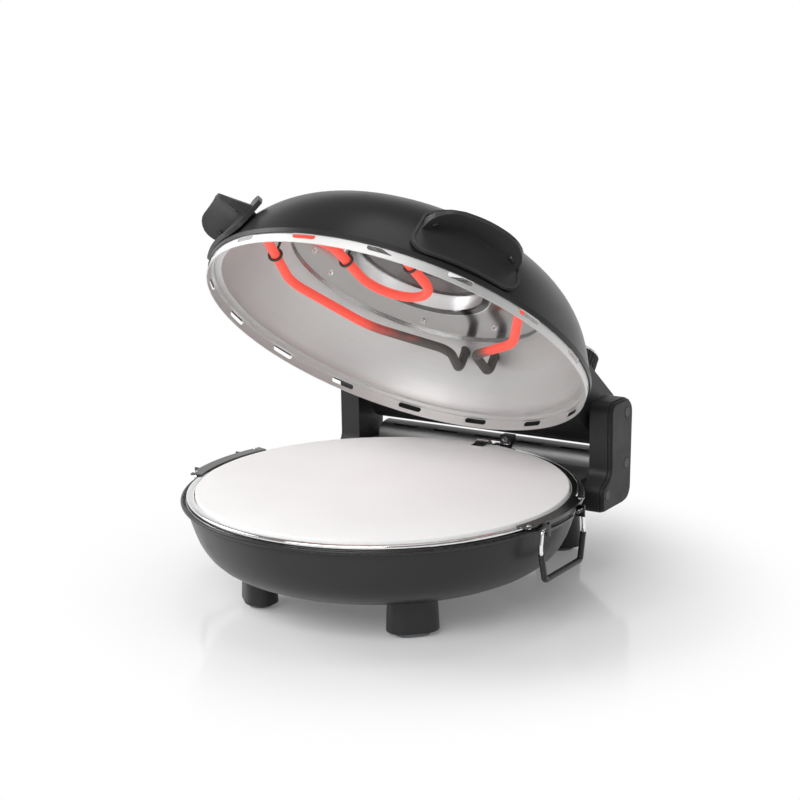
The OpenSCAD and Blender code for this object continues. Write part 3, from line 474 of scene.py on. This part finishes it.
EDGES = {
    "arm_left": 2.6, "arm_right": 2.6, "arm_cover_left": 0.7, "arm_cover_right": 0.7, "hinge_base": 2.0,
    "rear_housing": 2.0, "handle_left": 0.7, "handle_right": 0.7, "clip_block": 0.5, "feet": 1.2,
}
for name, width in EDGES.items():
    piece = NODES[name]
    if "smooth_faces" not in piece.modifiers:
        piece.modifiers.new("smooth_faces", "NODES").node_group = SMOOTH
    bevel = piece.modifiers.new("soft_edge", "BEVEL")
    bevel.width = width * MM
    bevel.segments = 3
    bevel.limit_method = "ANGLE"
    bevel.angle_limit = math.radians(42)
    bevel.use_clamp_overlap = True
    bevel.harden_normals = False


# ---------- stage, light, camera ----------
CAM_AZIMUTH = math.radians(32.391)
CAM_PITCH = math.radians(13.688)
CAM_ROLL = math.radians(-1.032)
CAM_PLACE = CENTRE + Vector((0.88937, -1.37238, 0.56336))
FOCAL_PX = 2048.07
WIDTH_PX = 800
FLOOR_LIFT = 0.13
FADE_START = 0.19                     # distance from the origin where the floor starts to turn white
FADE_END = 0.37                       # distance where it is plain white
WORLD_BEHIND = (-0.53, 0.85, 0)       # direction away from the camera, level
WORLD_FRONT = 0.30
WORLD_BACK = 0.95
WORLD_TOP = 0.22

cam_data = bpy.data.cameras.new("camera")
cam_data.sensor_width = 36
cam_data.lens = cam_data.sensor_width * FOCAL_PX / WIDTH_PX
cam_data.clip_end = 50
camera = bpy.data.objects.new("camera", cam_data)
bpy.context.scene.collection.objects.link(camera)
turn = (Matrix.Rotation(CAM_AZIMUTH, 4, "Z") @ Matrix.Rotation(math.radians(90) - CAM_PITCH, 4, "X")
        @ Matrix.Rotation(CAM_ROLL, 4, "Z"))
camera.matrix_world = Matrix.Translation(CAM_PLACE) @ turn
bpy.context.scene.camera = camera


def floor_material():
    """Pale polished floor that turns into plain white away from the object."""
    n = Nodes("studio_floor")
    n.set(Base_Color=(0.88, 0.88, 0.88, 1), Specular_IOR_Level=0.32)
    n.link(n.remap(n.noise(3, 2, 0.5), 0.10, 0.14), n.bsdf.inputs["Roughness"])
    lift = n.add("ShaderNodeEmission")
    lift.inputs["Strength"].default_value = FLOOR_LIFT
    add = n.add("ShaderNodeAddShader")
    n.link(n.bsdf.outputs[0], add.inputs[0])
    n.link(lift.outputs[0], add.inputs[1])
    white = n.add("ShaderNodeEmission")
    white.inputs["Strength"].default_value = 1.0
    far = n.add("ShaderNodeVectorMath", operation="LENGTH")
    n.link(n.coord, far.inputs[0])
    fade = n.add("ShaderNodeMapRange", interpolation_type="SMOOTHERSTEP")
    fade.inputs["From Min"].default_value = FADE_START
    fade.inputs["From Max"].default_value = FADE_END
    n.link(far.outputs["Value"], fade.inputs["Value"])
    near = n.add("ShaderNodeMixShader")
    n.link(fade.outputs["Result"], near.inputs[0])
    n.link(add.outputs[0], near.inputs[1])
    n.link(white.outputs[0], near.inputs[2])
    path = n.add("ShaderNodeLightPath")
    seen = n.maths("MAXIMUM", path.outputs["Is Camera Ray"],
                   n.maths("MAXIMUM", path.outputs["Is Glossy Ray"], path.outputs["Is Transmission Ray"]))
    mix = n.add("ShaderNodeMixShader")
    n.link(seen, mix.inputs[0])
    n.link(n.bsdf.outputs[0], mix.inputs[1])
    n.link(near.outputs[0], mix.inputs[2])
    n.link(mix.outputs[0], n.out.inputs[0])
    return n.mat


bm = bmesh.new()
bmesh.ops.create_circle(bm, cap_ends=True, radius=9, segments=96)
floor_data = bpy.data.meshes.new("floor")
bm.to_mesh(floor_data)
bm.free()
floor_data.materials.append(floor_material())
floor = bpy.data.objects.new("floor", floor_data)
bpy.context.scene.collection.objects.link(floor)

world = bpy.data.worlds.new("studio")
bpy.context.scene.world = world
world.use_nodes = True
tree = world.node_tree
tree.nodes.clear()


def world_node(kind, links=(), **values):
    """Adds a world node, sets its inputs by name and links outputs to its inputs by number."""
    node = tree.nodes.new("ShaderNode" + kind)
    for key, value in values.items():
        if key in ("operation", "interpolation_type"):
            setattr(node, key, value)
        else:
            node.inputs[key.replace("_", " ")].default_value = value
    for socket, source in links:
        tree.links.new(source, node.inputs[socket])
    return node


# a bright studio behind and above the object, dim behind the camera
direction = world_node("TexCoord").outputs["Generated"]
behind = world_node("VectorMath", [(0, direction)], operation="DOT_PRODUCT")
behind.inputs[1].default_value = WORLD_BEHIND
around = world_node("MapRange", [("Value", behind.outputs["Value"])], From_Min=-0.6, From_Max=0.6,
                    To_Min=WORLD_FRONT, To_Max=WORLD_BACK, interpolation_type="SMOOTHSTEP")
split = world_node("SeparateXYZ", [(0, direction)])
above = world_node("MapRange", [("Value", split.outputs["Z"])], From_Min=0.18, From_Max=0.62,
                   To_Min=1.0, To_Max=0.0, interpolation_type="SMOOTHSTEP")
level = world_node("MapRange", [("Value", above.outputs["Result"]), ("To Max", around.outputs["Result"])],
                   To_Min=WORLD_TOP)
soft = world_node("Background", [("Strength", level.outputs["Result"])])
soft.inputs["Color"].default_value = (1, 1, 1, 1)
white = world_node("Background", Strength=1.0)
white.inputs["Color"].default_value = (1, 1, 1, 1)
path = world_node("LightPath")
seen = world_node("Math", [(0, path.outputs["Is Camera Ray"]), (1, path.outputs["Is Transmission Ray"])],
                  operation="MAXIMUM")
mixed = world_node("MixShader", [(0, seen.outputs[0]), (1, soft.outputs[0]), (2, white.outputs[0])])
world_node("OutputWorld", [("Surface", mixed.outputs[0])])


def softbox(name, place, aim, size, power):
    """Rectangular area light that faces a point."""
    data = bpy.data.lights.new(name, "AREA")
    data.shape = "RECTANGLE"
    data.size, data.size_y = size
    data.energy = power
    obj = bpy.data.objects.new(name, data)
    bpy.context.scene.collection.objects.link(obj)
    obj.location = place
    obj.rotation_euler = (Vector(aim) - Vector(place)).to_track_quat("-Z", "Y").to_euler()
    return obj


softbox("key_front", (0.1, -2.1, 1.7), (0, 0, 0.1), (2.4, 1.4), 50)
softbox("left_side", (-2.0, -0.5, 1.2), (0, 0, 0.15), (1.2, 1.4), 21)
softbox("overhead", (0.0, 0.2, 2.4), (0, 0, 0.1), (1.2, 1.2), 7)
softbox("right_side", (2.2, 0.1, 0.9), (0, 0, 0.12), (0.8, 1.2), 1.5)

scene = bpy.context.scene
scene.view_settings.view_transform = "Standard"
